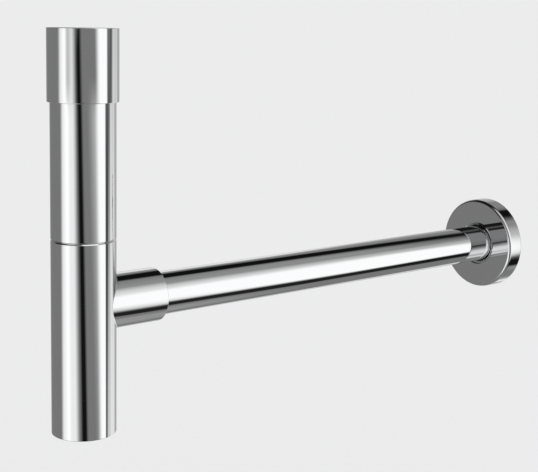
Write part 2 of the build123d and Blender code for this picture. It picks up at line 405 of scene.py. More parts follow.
def turn_piece(
    context, name, points, material, body, node, on_outlet=False, pitch=1.0, depth=0.0
):
    """Turns one round piece on the lathe, as a plain mesh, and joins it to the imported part."""
    chain = bpy.data.meshes.new(name)
    places = [(radius, 0, height) for radius, height, _ in points]
    chain.from_pydata(places, [(k, k + 1) for k in range(len(points) - 1)], [])
    cuts = chain.attributes.new("thread", "FLOAT", "POINT")
    cuts.data.foreach_set("value", [cut for *_, cut in points])
    piece = bpy.data.objects.new(name, chain)
    context.scene.collection.objects.link(piece)
    lathe = piece.modifiers.new("Lathe", "NODES")
    lathe.node_group = lathe_tree()
    values = {
        "Segments": context.scene.trap_sizes.segments,
        "Thread Pitch": pitch,
        "Thread Depth": depth,
        "Turn": (0, math.pi / 2, 0) if on_outlet else (0, 0, 0),
        "Move": (0, 0, OUTLET_Z) if on_outlet else (0, 0, 0),
        "Material": material,
    }
    for socket in lathe.node_group.interface.items_tree:
        if socket.in_out == "INPUT" and socket.name in values:
            lathe[socket.identifier] = values[socket.name]
    made = piece.evaluated_get(context.evaluated_depsgraph_get())
    mesh = bpy.data.meshes.new_from_object(made)
    piece.modifiers.clear()
    piece.data = mesh
    bpy.data.meshes.remove(chain)
    mesh.name = name
    if not mesh.polygons:
        raise RuntimeError(f"the lathe made no faces for {name}")
    shape = bmesh.new()
    shape.from_mesh(mesh)
    bmesh.ops.recalc_face_normals(shape, faces=shape.faces)
    shape.to_mesh(mesh)
    shape.free()
    mesh.set_sharp_from_angle(angle=math.radians(SHARP_THREADED if depth else SHARP))
    join_part(piece, body, node)


# Materials

def mottle_group():
    """Uneven surface at two scales: a broad cloud and a fine grain, both from 0 to 1."""
    if "trap_mottle" in bpy.data.node_groups:
        return bpy.data.node_groups["trap_mottle"]
    w, given, made = new_group(
        "trap_mottle",
        "ShaderNodeTree",
        {"Vector": "Vector", "Cloud Scale": 60.0, "Grain Scale": 1500.0},
        {"Cloud": "Float", "Grain": "Float"},
    )
    for name, detail in (("Cloud", 4.0), ("Grain", 2.0)):
        noise = w.add(
            "ShaderNodeTexNoise", Vector=given["Vector"], Scale=given[f"{name} Scale"],
            Detail=detail,
        )
        w.feed(made[name], w.ramp(noise.outputs[0], 0.3, 0.7))
    return w.tree


def lathe_marks_group():
    """Fine rings that a turning tool leaves around the axis Z of its vector."""
    if "trap_lathe_marks" in bpy.data.node_groups:
        return bpy.data.node_groups["trap_lathe_marks"]
    w, given, made = new_group(
        "trap_lathe_marks",
        "ShaderNodeTree",
        {"Vector": "Vector", "Rings per Metre": 4000.0},
        {"Rings": "Float"},
    )
    across, height = w.from_axis(given["Vector"])
    travel = w.math("MULTIPLY", w.math("ADD", height, across), given["Rings per Metre"])
    noise = w.add("ShaderNodeTexNoise", {"noise_dimensions": "1D"}, W=travel, Scale=1.0, Detail=3.0)
    w.feed(made["Rings"], noise.outputs[0])
    return w.tree


def thin_plating_group():
    """Where the plating thins out inside a turned piece: 1 on bare metal, 0 on the plated outside.

    The bare metal lies within the wall radius round the axis Z, and grows from the start height to
    the end height. Within the core radius both lie further on by the core's depth.
    """
    if "trap_thin_plating" in bpy.data.node_groups:
        return bpy.data.node_groups["trap_thin_plating"]
    w, given, made = new_group(
        "trap_thin_plating",
        "ShaderNodeTree",
        {
            "Vector": "Vector", "Core Radius": 0.0, "Core Depth": 0.0, "Wall Radius": 0.0,
            "Start": 0.0, "End": 0.01, "Unevenness": 0.002,
        },
        {"Bare": "Float"},
    )
    across, height = w.from_axis(given["Vector"])
    inside = w.math("LESS_THAN", across, given["Wall Radius"])
    in_core = w.math("LESS_THAN", across, given["Core Radius"])
    noise = w.add("ShaderNodeTexNoise", Vector=given["Vector"], Scale=180.0, Detail=3.0)
    wander = w.math("MULTIPLY", w.math("SUBTRACT", noise.outputs[0], 0.5), given["Unevenness"])
    deeper = w.math("MULTIPLY", in_core, given["Core Depth"])
    reached = w.math("SUBTRACT", w.math("ADD", height, wander), deeper)
    span = w.math("SUBTRACT", given["End"], given["Start"])
    grown = w.math("DIVIDE", w.math("SUBTRACT", reached, given["Start"]), span)
    w.feed(made["Bare"], w.math("MULTIPLY", inside, w.ramp(grown, 0.0, 1.0)))
    return w.tree


def new_material(name):
    """An empty material: its wiring, its shader's inputs and its Object coordinates."""
    material = bpy.data.materials.new(name)
    material.use_nodes = True
    tree = material.node_tree
    tree.nodes.clear()
    w = Wiring(tree)
    shader = w.add("ShaderNodeBsdfPrincipled")
    w.add("ShaderNodeOutputMaterial", Surface=shader.outputs[0])
    return material, w, shader.inputs, w.add("ShaderNodeTexCoord").outputs["Object"]


def relieve(w, shader, height, strength):
    """Gives a material a fine relief."""
    bump = w.add("ShaderNodeBump", Strength=strength, Distance=RELIEF, Height=height)
    w.feed(shader["Normal"], bump.outputs[0])


def chrome_material(context, name, on_outlet=False, **bare):
    """Polished chrome with a faint haze, and where it thins out to turned metal, if it does."""
    finish = context.scene.trap_finish
    material, w, shader, place = new_material(name)
    if on_outlet:
        turned = w.add(
            "ShaderNodeMapping", {"vector_type": "TEXTURE"}, Vector=place,
            Location=(0, 0, OUTLET_Z), Rotation=(0, math.pi / 2, 0),
        )
        place = turned.outputs[0]
    mottle = w.group(mottle_group(), Vector=place, Cloud_Scale=45.0, Grain_Scale=900.0).outputs
    cloud = mottle["Cloud"]
    haze = w.between(cloud, finish.polish - HAZE, finish.polish + HAZE)
    shader["Metallic"].default_value = 1.0
    if not bare:
        shader["Base Color"].default_value = (*finish.chrome, 1)
        w.feed(shader["Roughness"], haze)
        return material
    thinned = w.group(thin_plating_group(), Vector=place, **bare).outputs["Bare"]
    rings = w.group(lathe_marks_group(), Vector=place).outputs["Rings"]
    dull = w.between(rings, 0.26, 0.44)
    bloom = w.math("MULTIPLY", cloud, 0.6)
    worn = w.mix(bloom, (*finish.bare_metal, 1), (*finish.tarnish, 1))
    w.feed(shader["Base Color"], w.mix(thinned, (*finish.chrome, 1), worn))
    w.feed(shader["Roughness"], w.blend(thinned, haze, dull))
    relieve(w, shader, w.math("MULTIPLY", rings, thinned), 0.12)
    return material


def brass_material(context, name="trap_brass"):
    """Turned brass with tool rings and an uneven darker bloom."""
    if name in bpy.data.materials:
        return bpy.data.materials[name]
    finish = context.scene.trap_finish
    material, w, shader, place = new_material(name)
    mottle = w.group(mottle_group(), Vector=place, Cloud_Scale=70.0, Grain_Scale=1200.0).outputs
    rings = w.group(lathe_marks_group(), Vector=place, Rings_per_Metre=3500.0).outputs["Rings"]
    bloom = w.math("MULTIPLY", mottle["Cloud"], 0.55)
    w.feed(shader["Base Color"], w.mix(bloom, (*finish.brass, 1), (*finish.tarnish, 1)))
    w.feed(shader["Roughness"], w.between(rings, 0.2, 0.45))
    shader["Metallic"].default_value = 1.0
    relieve(w, shader, rings, 0.2)
    return material


def rubber_material(context, name="trap_rubber"):
    """Matte black rubber with a moulded grain and a grey bloom."""
    if name in bpy.data.materials:
        return bpy.data.materials[name]
    black = context.scene.trap_finish.rubber
    material, w, shader, place = new_material(name)
    mottle = w.group(mottle_group(), Vector=place, Cloud_Scale=220.0, Grain_Scale=2600.0).outputs
    gain, lift = 1.9, 0.012
    bloom = tuple(min(1.0, gain * part + lift) for part in black)
    cover = w.math("MULTIPLY", mottle["Cloud"], 0.5)
    w.feed(shader["Base Color"], w.mix(cover, (*black, 1), (*bloom, 1)))
    w.feed(shader["Roughness"], w.between(mottle["Grain"], 0.58, 0.8))
    shader["Specular IOR Level"].default_value = 0.35
    relieve(w, shader, mottle["Grain"], 0.3)
    return material


def nylon_material(context, name="trap_nylon"):
    """Off-white nylon with faint flow marks."""
    if name in bpy.data.materials:
        return bpy.data.materials[name]
    white = context.scene.trap_finish.nylon
    material, w, shader, place = new_material(name)
    mottle = w.group(mottle_group(), Vector=place, Cloud_Scale=120.0, Grain_Scale=1800.0).outputs
    shade = tuple(0.9 * part for part in white)
    w.feed(shader["Base Color"], w.mix(mottle["Cloud"], (*white, 1), (*shade, 1)))
    w.feed(shader["Roughness"], w.between(mottle["Grain"], 0.4, 0.55))
    relieve(w, shader, mottle["Grain"], 0.1)
    return material


# The bottle, whose wall is turned but whose socket is let into its side

def close(one, two):
    """Whether two lengths are the same but for rounding."""
    return abs(one - two) < SAME_PLACE


def spot(point):
    """A point's place as a key, the same for points that differ only by rounding."""
    return tuple(round(value, 7) for value in point)


def saddle_x(radius, wall_r, around):
    """How far from the body's axis a pipe of that radius leaves the body's wall."""
    return math.sqrt(wall_r**2 - (radius * math.sin(around)) ** 2)


def outlet_point(x, radius, around):
    """A point on a pipe about the outlet's axis. Angle 0 is its top."""
    return Vector((x, radius * math.sin(around), OUTLET_Z + radius * math.cos(around)))


def body_point(radius, around, height):
    """A point on a wall about the body's axis. Angle 0 is towards the outlet."""
    return Vector((radius * math.cos(around), radius * math.sin(around), height))


def braze_rings(sizes, turns, steps=6):
    """Rings of points, and of their normals, across the fillet between the wall and its socket."""
    rings = [[] for _ in range(steps + 1)]
    normals = [[] for _ in range(steps + 1)]
    for around in turns:
        leaves = saddle_x(sizes.socket_r, sizes.body_r, around)
        corner = outlet_point(leaves, sizes.socket_r, around)
        wall = Vector((corner.x, corner.y, 0)).normalized()
        pipe = Vector((0, math.sin(around), math.cos(around)))
        seam = wall.cross(pipe).normalized()
        on_wall = seam.cross(wall)
        on_wall *= math.copysign(1, on_wall.dot(pipe))
        on_pipe = seam.cross(pipe)
        on_pipe *= math.copysign(1, on_pipe.dot(wall))
        reach = sizes.braze * math.tan(wall.angle(pipe) / 2)
        first = corner + on_wall * reach
        first = body_point(sizes.body_r, math.atan2(first.y, first.x), first.z)
        last = corner + on_pipe * reach
        last = outlet_point(last.x, sizes.socket_r, math.atan2(last.y, last.z - OUTLET_Z))
        for step in range(steps + 1):
            t = step / steps
            rings[step].append((1 - t) ** 2 * first + 2 * t * (1 - t) * corner + t * t * last)
            normals[step].append(wall.slerp(pipe, t))
    return rings, normals


def wall_patch(wall_r, hole, columns, heights, segments):
    """Triangles of a stretch of the round wall around a hole, given as a ring of points on it."""
    clear = 0.5 * MM
    step = math.tau / segments
    flat = [(math.atan2(p.y, p.x) * wall_r, p.z) for p in hole]
    edges = [(k, (k + 1) % len(flat)) for k in range(len(flat))]
    grid = [(column * step * wall_r, height) for column in columns for height in heights]
    ring = np.array(flat)
    for place in grid:
        on_border = place[0] in (grid[0][0], grid[-1][0]) or place[1] in (heights[0], heights[-1])
        away = np.hypot(*(ring - place).T)
        near = ring[away.argmin()]
        beyond = math.hypot(place[0], place[1] - OUTLET_Z) > math.hypot(near[0], near[1] - OUTLET_Z)
        if on_border or (beyond and away.min() > clear):
            flat.append(place)
    points, _, faces, *_ = geometry.delaunay_2d_cdt([Vector(p) for p in flat], edges, [], 0, 1e-9)
    if len(points) != len(flat):
        raise RuntimeError("the wall around the socket was not cut cleanly")
    kept = [face for face in faces if max(face) >= len(hole)]
    wall = hole + [body_point(wall_r, p[0] / wall_r, p[1]) for p in points[len(hole):]]
    return wall, kept


# Surfaces of the bottle, of which all but the first have known normals
TURNED, WALL, BRAZE, SOCKET = range(4)


class Shell:
    """Collects the faces of one mesh, each with the kind of surface it lies on."""

    def __init__(self):
        self.shape = bmesh.new()
        self.kind = self.shape.faces.layers.int.new("surface")

    def add(self, points, faces, kind):
        """Adds faces over their points, but for those that shrink to a line."""
        kept = [face for face in faces if len({spot(points[k]) for k in face}) > 2]
        used = sorted({k for face in kept for k in face})
        corners = {k: self.shape.verts.new(points[k]) for k in used}
        for face in kept:
            self.shape.faces.new([corners[k] for k in face])[self.kind] = kind

    def add_rings(self, rings, kinds, gaps=None):
        """Adds the bands between rings of points, each of its own kind and with its own gap."""
        count = len(rings[0])
        for row, kind in enumerate(kinds):
            left_out = gaps[row] if gaps else ()
            faces = [
                (k, (k + 1) % count, count + (k + 1) % count, count + k)
                for k in range(count) if k not in left_out
            ]
            self.add([*rings[row], *rings[row + 1]], faces, kind)

    def mesh(self, name):
        """The closed and smooth mesh of all faces."""
        shape = self.shape
        bmesh.ops.remove_doubles(shape, verts=shape.verts, dist=SAME_PLACE)
        bmesh.ops.recalc_face_normals(shape, faces=shape.faces)
        for face in shape.faces:
            face.smooth = True
        open_edges = [edge for edge in shape.edges if len(edge.link_faces) != 2]
        if open_edges:
            raise RuntimeError(f"{name} has {len(open_edges)} open edges")
        mesh = bpy.data.meshes.new(name)
        shape.to_mesh(mesh)
        shape.free()
        mesh.set_sharp_from_angle(angle=math.radians(SHARP))
        return mesh


def bottle_section(sizes, outer_rows, inner_rows):
    """Section of the bottle's turned wall, from the middle of its foot to that of its floor."""
    foot, mouth = bottle_low.z, bottle_high.z
    floor, floor_rounding = foot + 2.0 * MM, 2.5 * MM
    ledge_top = mouth - 13.4 * MM
    ledge_foot, ledge_slope = ledge_top - 3.0 * MM, 2.0 * MM
    return rounded(
        [
            (0, foot),
            (sizes.body_r, foot, sizes.body_edge),
            *[(sizes.body_r, height) for height in outer_rows],
            (sizes.body_r, mouth - sizes.groove_height, 0.15 * MM),
            (sizes.body_r - sizes.groove_depth, mouth, HAIR_EDGE),
            (sizes.body_bore_r, mouth),
            (sizes.body_bore_r, ledge_top),
            (sizes.spigot_bore_r, ledge_top),
            (sizes.spigot_bore_r, ledge_foot),
            (sizes.body_bore_r, ledge_foot - ledge_slope),
            *[(sizes.body_bore_r, height) for height in reversed(inner_rows)],
            (sizes.body_bore_r, floor, floor_rounding),
            (0, floor),
        ],
        closed=False,
    )


def socket_section(sizes):
    """Section of the socket about the outlet's axis, from the braze round to the pipe's stop."""
    end = bottle_high.x
    start, stop = sizes.body_r + 2.2 * MM, sizes.body_r + 2.5 * MM
    chamfer, half_groove = 0.5 * MM, 1.8 * MM
    groove_middles = end - 9.0 * MM, end - 17.0 * MM
    bore_r, groove_r = sizes.socket_bore_r, sizes.socket_groove_r
    return rounded(
        [
            (sizes.socket_r, start),
            (sizes.socket_r, end, sizes.socket_edge),
            (bore_r + chamfer, end),
            (bore_r, end - chamfer),
            *[
                (radius, middle + side * half_groove)
                for middle in groove_middles
                for radius, side in ((bore_r, 1), (groove_r, 1), (groove_r, -1), (bore_r, -1))
            ],
            (bore_r, stop),
            (sizes.socket_stop_r, stop),
        ],
        closed=False,
    )


def patch_lines(segments, share, rows, row=3.0 * MM):
    """Columns and heights of the wall's mesh around the socket, to either side of its axis."""
    half = int(share * segments)
    return range(-half, half + 1), [OUTLET_Z + k * row for k in range(-rows, rows + 1)]


def bottle_mesh(sizes):
    """The bottle: a closed foot, a turned wall with the brazed socket in it, and the open mouth."""
    segments = sizes.segments
    outer_columns, outer_rows = patch_lines(segments, share=0.211, rows=8)
    inner_columns, inner_rows = patch_lines(segments, share=0.168, rows=6)

    shell = Shell()
    section = bottle_section(sizes, outer_rows, inner_rows)
    turns = [math.tau * k / segments for k in range(segments)]
    rings = [[body_point(radius, turn, height) for turn in turns] for radius, height, _ in section]
    kinds, gaps = [], []
    for (r1, z1, _), (r2, z2, _) in zip(section, section[1:]):
        on_wall = close(r1, sizes.body_r) and close(r2, sizes.body_r)
        in_bore = close(r1, sizes.body_bore_r) and close(r2, sizes.body_bore_r)
        middle = (z1 + z2) / 2
        gap = set()
        if on_wall and outer_rows[0] < middle < outer_rows[-1]:
            gap = {k % segments for k in outer_columns[:-1]}
        if in_bore and inner_rows[0] < middle < inner_rows[-1]:
            gap = {k % segments for k in inner_columns[:-1]}
        kinds.append(WALL if on_wall else TURNED)
        gaps.append(gap)
    shell.add_rings(rings, kinds, gaps)

    socket_segments = segments * 3 // 4
    turns = [math.tau * k / socket_segments for k in range(socket_segments)]
    braze, braze_normals = braze_rings(sizes, turns)
    shell.add(*wall_patch(sizes.body_r, braze[0], outer_columns, outer_rows, segments), WALL)
    shell.add_rings(braze, [BRAZE] * (len(braze) - 1))
    path = socket_section(sizes)
    stop_r = sizes.socket_stop_r
    inlet = [
        outlet_point(saddle_x(stop_r, sizes.body_bore_r, turn), stop_r, turn) for turn in turns
    ]
    rings = [[outlet_point(x, radius, turn) for turn in turns] for radius, x, _ in path]
    kinds = [
        SOCKET if close(one[0], sizes.socket_r) and close(two[0], sizes.socket_r) else TURNED
        for one, two in zip(path, path[1:])
    ]
    shell.add_rings([braze[-1], *rings, inlet], [SOCKET, *kinds, TURNED])
    shell.add(*wall_patch(sizes.body_bore_r, inlet, inner_columns, inner_rows, segments), TURNED)
    mesh = shell.mesh("bottle_shell")

    across = {
        spot(point): normal
        for ring, normals in zip(braze, braze_normals) for point, normal in zip(ring, normals)
    }
    known = {
        TURNED: lambda place: None,
        WALL: lambda place: Vector((place.x, place.y, 0)).normalized(),
        BRAZE: lambda place: across.get(spot(place)),
        SOCKET: lambda place: Vector((0, place.y, place.z - OUTLET_Z)).normalized(),
    }
    surface = mesh.attributes["surface"]
    kinds = [item.value for item in surface.data]
    normals = [corner.vector.copy() for corner in mesh.corner_normals]
    for polygon in mesh.polygons:
        for loop in polygon.loop_indices:
            place = mesh.vertices[mesh.loops[loop].vertex_index].co
            normals[loop] = known[kinds[polygon.index]](place) or normals[loop]
    mesh.normals_split_custom_set(normals)
    mesh.attributes.remove(surface)
    return mesh


# Operators

class TRAP_OT_union_nut(bpy.types.Operator):
    """Turn the union nut with its inlet thread, lip and long skirt"""

    bl_idname = "trap.union_nut"
    bl_label = "Union nut"

    def execute(self, context):
        sizes = context.scene.trap_sizes
        top, foot = nut_high.z, nut_low.z
        dish = top - sizes.nut_dish
        land, land_edge = 0.6 * MM, 0.5 * MM
        chamfer = 0.9 * MM
        lip_top, lip_foot, lip_slope = -5.0 * MM, -9.0 * MM, 1.5 * MM
        chrome = chrome_material(
            context, "trap_chrome_nut", Wall_Radius=21.8 * MM, Start=top - 1.0 * MM,
            End=top - 9.0 * MM,
        )
        section = rounded(
            [
                (sizes.thread_r + chamfer, dish, FINE_EDGE),
                (sizes.nut_r - land, top, land_edge),
                (sizes.nut_r, top, sizes.nut_edge),
                (sizes.nut_r, foot, sizes.nut_edge),
                (sizes.skirt_r, foot, SOFT_EDGE),
                (sizes.skirt_r, lip_foot - lip_slope),
                (sizes.skirt_r - lip_slope, lip_foot),
                (sizes.lip_bore_r, lip_foot),
                (sizes.lip_bore_r, lip_top),
                (sizes.thread_relief_r, lip_top),
                (sizes.thread_relief_r, 0),
                *thread_run(sizes.thread_r, 0, dish - chamfer, sizes.inlet_pitch),
            ]
        )
        turn_piece(
            context, "union_nut", section, chrome, "nut", "inlet_nut",
            pitch=sizes.inlet_pitch, depth=sizes.inlet_depth,
        )
        return {"FINISHED"}


class TRAP_OT_dip_tube(bpy.types.Operator):
    """Turn the brass dip tube with its flange and flared mouth"""

    bl_idname = "trap.dip_tube"
    bl_label = "Dip tube"

    def execute(self, context):
        sizes = context.scene.trap_sizes
        top, foot = dip_high.z, dip_low.z
        flange_foot, flare = top - 1.5 * MM, 0.8 * MM
        section = rounded(
            [
                (sizes.tube_bore_r + flare, top),
                (sizes.drop_in_r, top, EDGE),
                (sizes.drop_in_r, flange_foot, EDGE),
                (sizes.tube_r, flange_foot),
                (sizes.tube_r, foot, FINE_EDGE),
                (sizes.tube_bore_r, foot, FINE_EDGE),
                (sizes.tube_bore_r, top - flare),
            ]
        )
        brass = brass_material(context)
        turn_piece(context, "dip_tube_turned", section, brass, "inlet", "dip_tube")
        return {"FINISHED"}


class TRAP_OT_upper_tube(bpy.types.Operator):
    """Turn the upper body tube with the gland's seat and the threaded spigot"""

    bl_idname = "trap.upper_tube"
    bl_label = "Upper tube"

    def execute(self, context):
        sizes = context.scene.trap_sizes
        top, foot = upper_high.z, upper_low.z
        joint = foot + 12.0 * MM
        joint_flank = 0.4 * MM
        thread_top, thread_foot = joint - 1.0 * MM, foot + 0.7 * MM
        root, slope = joint + 6.0 * MM, 2.0 * MM
        seat_top, seat_foot = -37.0 * MM, -41.0 * MM
        chrome = chrome_material(
            context, "trap_chrome_upper", Wall_Radius=22.0 * MM, Start=top + 20.0 * MM,
            End=top + 10.0 * MM,
        )
        section = rounded(
            [
                (sizes.body_r, top, sizes.body_edge),
                (sizes.body_r, joint + joint_flank, HAIR_EDGE),
                (sizes.body_r - sizes.groove_depth, joint, HAIR_EDGE),
                (sizes.gland_r, joint),
                *thread_run(sizes.gland_r, thread_top, thread_foot, sizes.joint_pitch),
                (sizes.gland_r, foot, SOFT_EDGE),
                (sizes.spigot_bore_r, foot, EDGE),
                (sizes.spigot_bore_r, root),
                (sizes.body_bore_r, root + slope),
                (sizes.body_bore_r, seat_foot - slope),
                (sizes.body_bore_r - slope, seat_foot),
                (sizes.gland_bore_r, seat_foot),
                (sizes.gland_bore_r, seat_top),
                (sizes.body_bore_r, seat_top),
                (sizes.body_bore_r, top, FINE_EDGE),
            ]
        )
        turn_piece(
            context, "upper_body", section, chrome, "upper", "upper_tube",
            pitch=sizes.joint_pitch, depth=sizes.joint_depth,
        )
        return {"FINISHED"}


class TRAP_OT_bottle(bpy.types.Operator):
    """Build the bottle with its closed foot and the socket brazed into its side"""

    bl_idname = "trap.bottle"
    bl_label = "Bottle"

    def execute(self, context):
        mesh = bottle_mesh(context.scene.trap_sizes)
        mesh.materials.append(chrome_material(context, "trap_chrome_bottle"))
        piece = bpy.data.objects.new("bottle_body", mesh)
        context.scene.collection.objects.link(piece)
        join_part(piece, "bottle", "bottle")
        return {"FINISHED"}


class TRAP_OT_outlet_pipe(bpy.types.Operator):
    """Turn the plain outlet pipe"""

    bl_idname = "trap.outlet_pipe"
    bl_label = "Outlet pipe"

    def execute(self, context):
        sizes = context.scene.trap_sizes
        start, end = pipe_low.x, pipe_high.x
        chrome = chrome_material(
            context, "trap_chrome_pipe", on_outlet=True, Wall_Radius=15.2 * MM,
            Start=end + 1.0 * MM, End=end - 22.0 * MM,
        )
        section = rounded(
            [
                (sizes.tube_bore_r, start, FINE_EDGE),
                (sizes.tube_r, start, SOFT_EDGE),
                (sizes.tube_r, end, SOFT_EDGE),
                (sizes.tube_bore_r, end, EDGE),
            ]
        )
        turn_piece(
            context, "pipe_to_wall", section, chrome, "pipe", "outlet_pipe",
            on_outlet=True,
        )
        return {"FINISHED"}


class TRAP_OT_wall_flange(bpy.types.Operator):
    """Turn the hollow wall flange with its hub and ring groove"""

    bl_idname = "trap.wall_flange"
    bl_label = "Wall flange"

    def execute(self, context):
        sizes = context.scene.trap_sizes
        face, back = flange_low.x, flange_high.x
        wall = 1.4 * MM
        rim_r, inside = sizes.flange_r - wall, face + wall
        rim_rounding, hub_rounding = 1.0 * MM, 0.5 * MM
        hub_end = face + 9.0 * MM
        groove_start, groove_end = face + 3.8 * MM, face + 7.2 * MM
        chrome = chrome_material(
            context, "trap_chrome_flange", on_outlet=True, Core_Radius=20.0 * MM,
            Core_Depth=3.0 * MM, Wall_Radius=39.0 * MM, Start=face + 0.6 * MM,
            End=face + 1.2 * MM, Unevenness=0.3 * MM,
        )
        section = rounded(
            [
                (sizes.hole_r, face, sizes.hole_edge),
                (sizes.flange_r, face, sizes.flange_edge),
                (sizes.flange_r, back, EDGE),
                (rim_r, back, EDGE),
                (rim_r, inside, rim_rounding),
                (sizes.hub_r, inside, hub_rounding),
                (sizes.hub_r, hub_end, EDGE),
                (sizes.hole_r, hub_end, EDGE),
                (sizes.hole_r, groove_end),
                (sizes.socket_groove_r, groove_end),
                (sizes.socket_groove_r, groove_start),
                (sizes.hole_r, groove_start),
            ]
        )
        turn_piece(
            context, "flange_cover", section, chrome, "flange", "wall_flange",
            on_outlet=True,
        )
        return {"FINISHED"}


class TRAP_OT_rings(bpy.types.Operator):
    """Turn the rubber seals and nylon slip rings, and finish the brass gland nut"""

    bl_idname = "trap.rings"
    bl_label = "Seals and slip rings"

    def execute(self, context):
        sizes = context.scene.trap_sizes
        rubber, nylon = rubber_material(context), nylon_material(context)
        flat_rings = (
            ("inlet_gasket", "inlet", sizes.gasket_bore_r, sizes.drop_in_r, 0.5 * MM, rubber),
            ("inlet_slip_ring", "inlet", sizes.lip_bore_r, sizes.drop_in_r, FINE_EDGE, nylon),
            ("gland_slip_ring", "gland", sizes.gland_bore_r, sizes.gland_r, FINE_EDGE, nylon),
            ("joint_gasket", "joint_ring", sizes.spigot_bore_r, sizes.gland_r, EDGE, rubber),
        )
        for node, body, bore_r, outer_r, edge, material in flat_rings:
            low, high = (corner.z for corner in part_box(node))
            section = ring_section(bore_r, outer_r, low, high, edge)
            turn_piece(context, f"{node}_turned", section, material, body, node)

        low, high = (corner.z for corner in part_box("gland_seal"))
        slope, slope_rounding = 2.0 * MM, 0.6 * MM
        section = rounded(
            [
                (sizes.seal_bore_r, low, EDGE),
                (sizes.gland_r - slope, low, SOFT_EDGE),
                (sizes.gland_r, low + slope, slope_rounding),
                (sizes.gland_r, high, EDGE),
                (sizes.seal_bore_r, high, EDGE),
            ]
        )
        turn_piece(
            context, "gland_seal_turned", section, rubber, "gland", "gland_seal"
        )

        outer_r, edge = sizes.socket_groove_r - 0.1 * MM, 0.8 * MM
        outlet_rings = {
            "outlet_oring_outer": "bottle", "outlet_oring_inner": "bottle", "flange_oring": "flange"
        }
        for node, body in outlet_rings.items():
            low, high = (corner.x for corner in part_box(node))
            section = ring_section(sizes.seal_bore_r, outer_r, low, high, edge)
            turn_piece(
                context, f"{node}_turned", section, rubber, body, node,
                on_outlet=True,
            )

        gland_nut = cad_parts["gland_nut"]
        gland_nut.data.materials.clear()
        gland_nut.data.materials.append(brass_material(context))
        return {"FINISHED"}


PANEL_INPUTS = (
    "Level", "Middle", "Left", "Right", "Left Softness", "Right Softness", "Left Lean",
    "Right Lean", "Bottom", "Top", "Bottom Softness", "Top Softness", "Top Fall",
)


def panel_group():
    """A soft panel of the studio, which lies over the light behind it.

    Its place is a bearing and a height, in degrees. Its left and right edges may lean with the
    height, and its top may fall to the right.
    """
    if "trap_studio_panel" in bpy.data.node_groups:
        return bpy.data.node_groups["trap_studio_panel"]
    w, given, made = new_group(
        "trap_studio_panel",
        "ShaderNodeTree",
        {name: 0.0 for name in ("Bearing", "Height", "Behind", *PANEL_INPUTS)},
        {"Light": "Float"},
    )
    height = given["Height"]
    aside = w.math("WRAP", w.math("SUBTRACT", given["Bearing"], given["Middle"]), 180.0, -180.0)

    def past(value, place, side):
        half = w.math("MULTIPLY", given[f"{side} Softness"], 0.5)
        return w.ramp(value, w.math("SUBTRACT", place, half), w.math("ADD", place, half))

    def short_of(value, place, side):
        return w.math("SUBTRACT", 1.0, past(value, place, side))

    left, right = (
        w.math("MULTIPLY_ADD", height, given[f"{side} Lean"], given[side])
        for side in ("Left", "Right")
    )
    lifted = w.math("MULTIPLY_ADD", aside, given["Top Fall"], height)
    mask = w.math("MULTIPLY", past(aside, left, "Left"), short_of(aside, right, "Right"))
    mask = w.math("MULTIPLY", mask, past(height, given["Bottom"], "Bottom"))
    mask = w.math("MULTIPLY", mask, short_of(lifted, given["Top"], "Top"))
    w.feed(made["Light"], w.blend(mask, given["Behind"], given["Level"]))
    return w.tree


